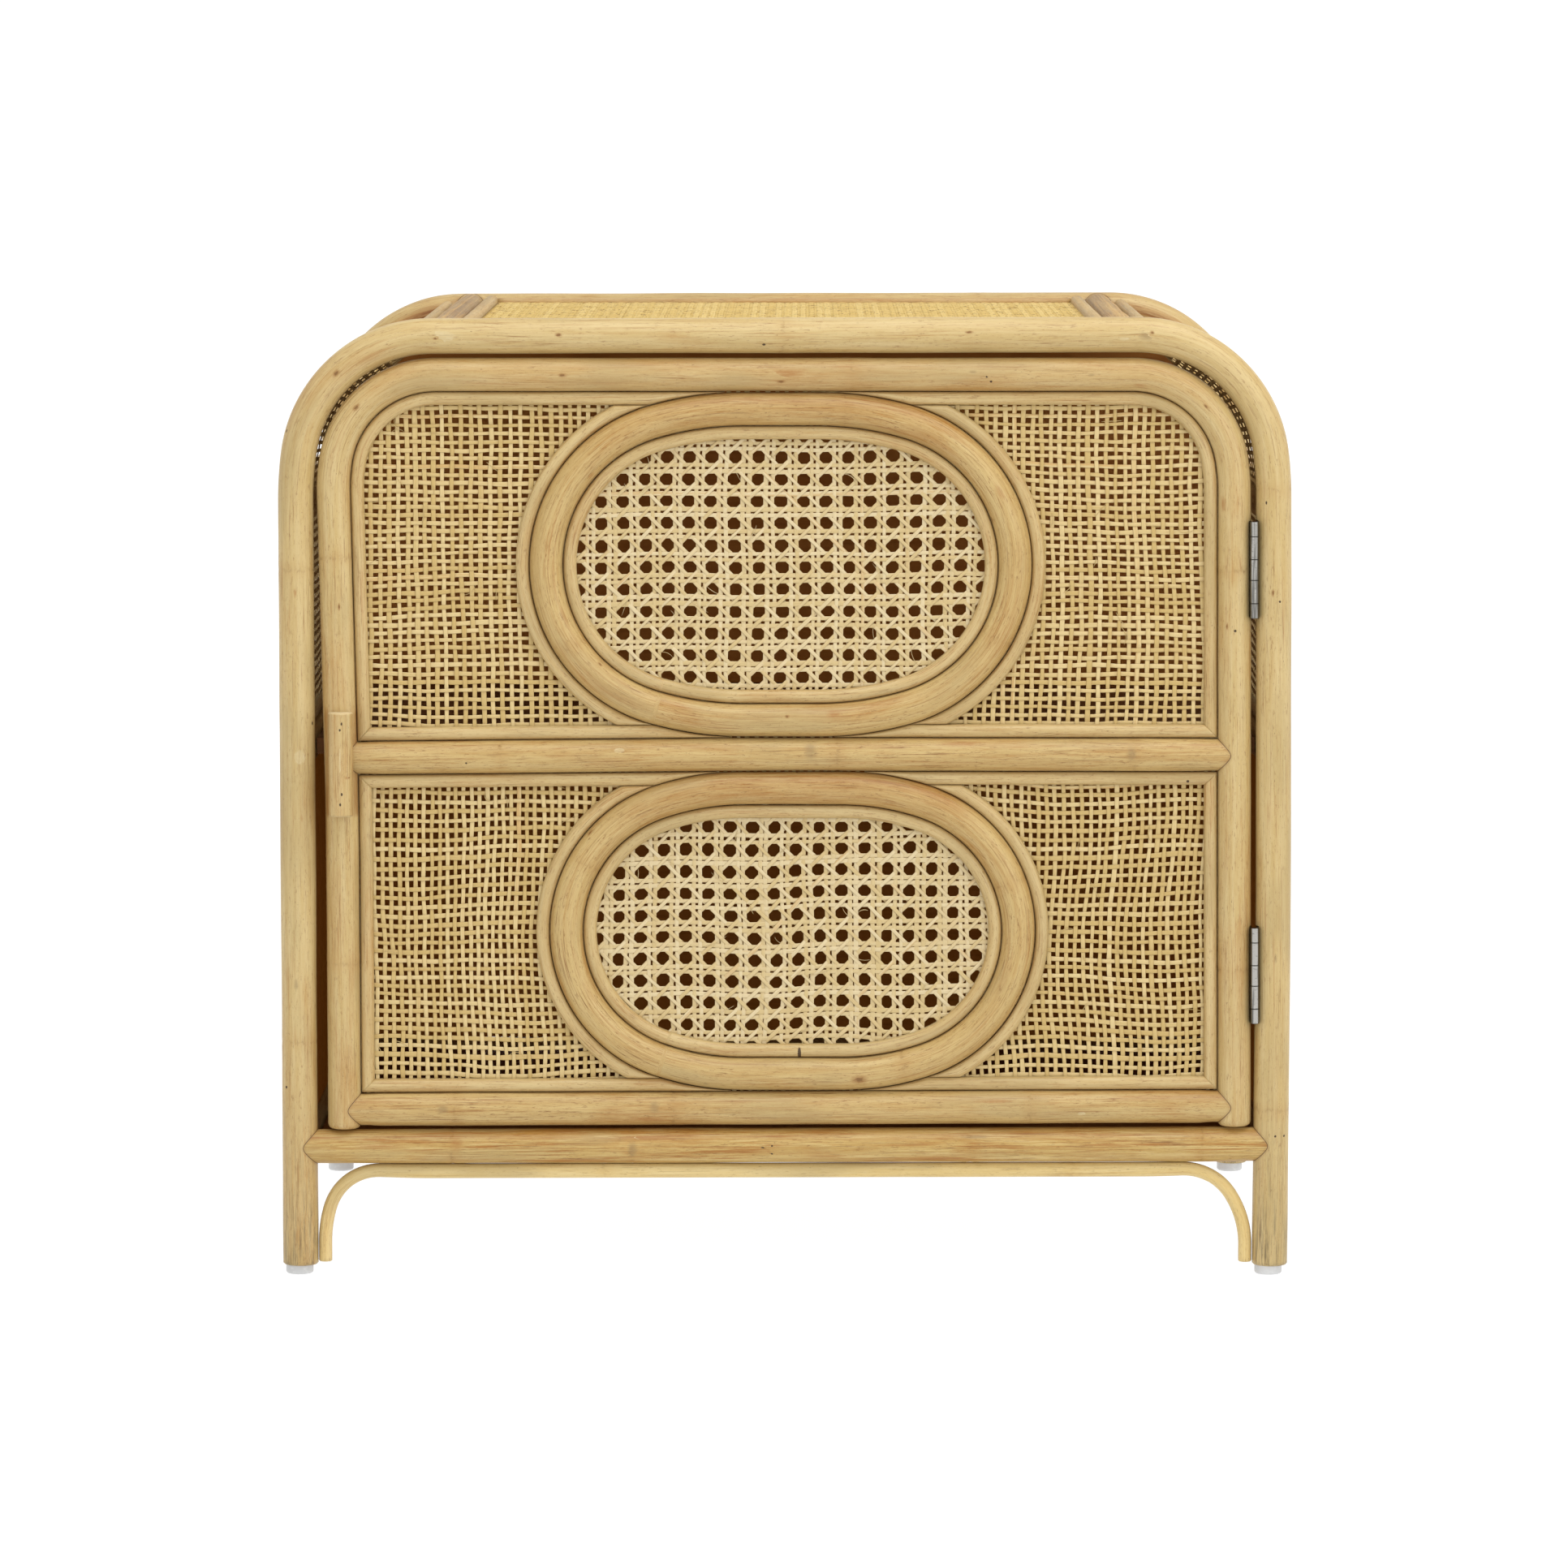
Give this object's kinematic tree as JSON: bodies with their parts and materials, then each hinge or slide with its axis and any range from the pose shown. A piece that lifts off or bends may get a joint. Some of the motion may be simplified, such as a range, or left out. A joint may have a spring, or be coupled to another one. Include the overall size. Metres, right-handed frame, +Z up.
{
  "type": "side cabinet",
  "caption": "Bent rattan pole side cabinet with rounded top corners, woven webbing skins, an inset hinged door with oval cane windows, a shelf and short legs.",
  "frame": {"origin": "centre of the bounding box's footprint, on the floor under the foot glides", "axes": "+X to the right seen from the front, +Y to the back, +Z up; the door and its handle face -Y"},
  "size_m": [0.5808, 0.4104, 0.5518],
  "materials": {
    "rattan_pole": "lacquered rattan core pole",
    "weathered_rattan": "worn, greyed rattan",
    "rattan_strip": "lacquered half-round strip",
    "square_webbing": "lacquered plain-weave cane",
    "six_way_cane": "lacquered six-way cane",
    "dark_plywood": "dark stained",
    "white_glide": "satin",
    "catch_plastic": "satin",
    "magnet": "dull",
    "hinge_steel": "aged steel",
    "screw_steel": "aged steel"
  },
  "bodies": {
    "cabinet": {"back_arch": "rattan_pole", "back_bottom_rail": "rattan_pole", "back_brace": "rattan_pole", "back_panel": "dark_plywood", "back_trims": "rattan_strip", "back_webbing": "square_webbing", "cabinet_hinge_leaves": "hinge_steel", "cabinet_hinge_screws": "screw_steel", "catch_housing": "catch_plastic", "catch_magnet": "magnet", "catch_screws": "screw_steel", "floor_board": "dark_plywood", "frame_screws": "screw_steel", "front_arch": "rattan_pole", "front_bottom_rail": "rattan_pole", "front_brace": "rattan_pole", "glide_nails": "screw_steel", "glides": "white_glide", "hinge_pins": "hinge_steel", "left_bottom_rail": "rattan_pole", "left_corner_rail": "rattan_pole", "left_corner_webbing": "square_webbing", "left_liner": "dark_plywood", "left_mid_rail": "rattan_pole", "left_side_trims": "rattan_strip", "left_side_webbing": "square_webbing", "left_top_rail": "weathered_rattan", "right_bottom_rail": "rattan_pole", "right_corner_rail": "rattan_pole", "right_corner_webbing": "square_webbing", "right_liner": "dark_plywood", "right_mid_rail": "rattan_pole", "right_side_trims": "rattan_strip", "right_side_webbing": "square_webbing", "right_top_rail": "weathered_rattan", "shelf": "dark_plywood", "top_board": "dark_plywood", "top_edge_trims": "rattan_strip", "top_end_strips": "weathered_rattan", "top_webbing": "square_webbing"},
    "door": {"door_frame": "rattan_pole", "door_mid_rail": "rattan_pole", "door_bottom_rail": "rattan_pole", "upper_ring": "rattan_pole", "lower_ring": "rattan_pole", "upper_mesh_panel": "square_webbing", "lower_mesh_panel": "square_webbing", "upper_cane": "six_way_cane", "lower_cane": "six_way_cane", "ring_inner_trims": "rattan_strip", "ring_outer_trims": "rattan_strip", "upper_panel_trims": "rattan_strip", "lower_panel_trims": "rattan_strip", "handle": "rattan_pole", "handle_nails": "screw_steel", "door_joint_screws": "screw_steel", "door_hinge_leaves": "hinge_steel", "door_hinge_screws": "screw_steel", "catch_strike": "hinge_steel"}
  },
  "joints": [
    {"name": "door_swing", "type": "hinge", "parent": "cabinet", "child": "door", "pos_m": [0.2674, -0.1935, 0.4057], "axis": [-0.0077, 0, 1], "range_deg": [0, 150]}
  ]
}
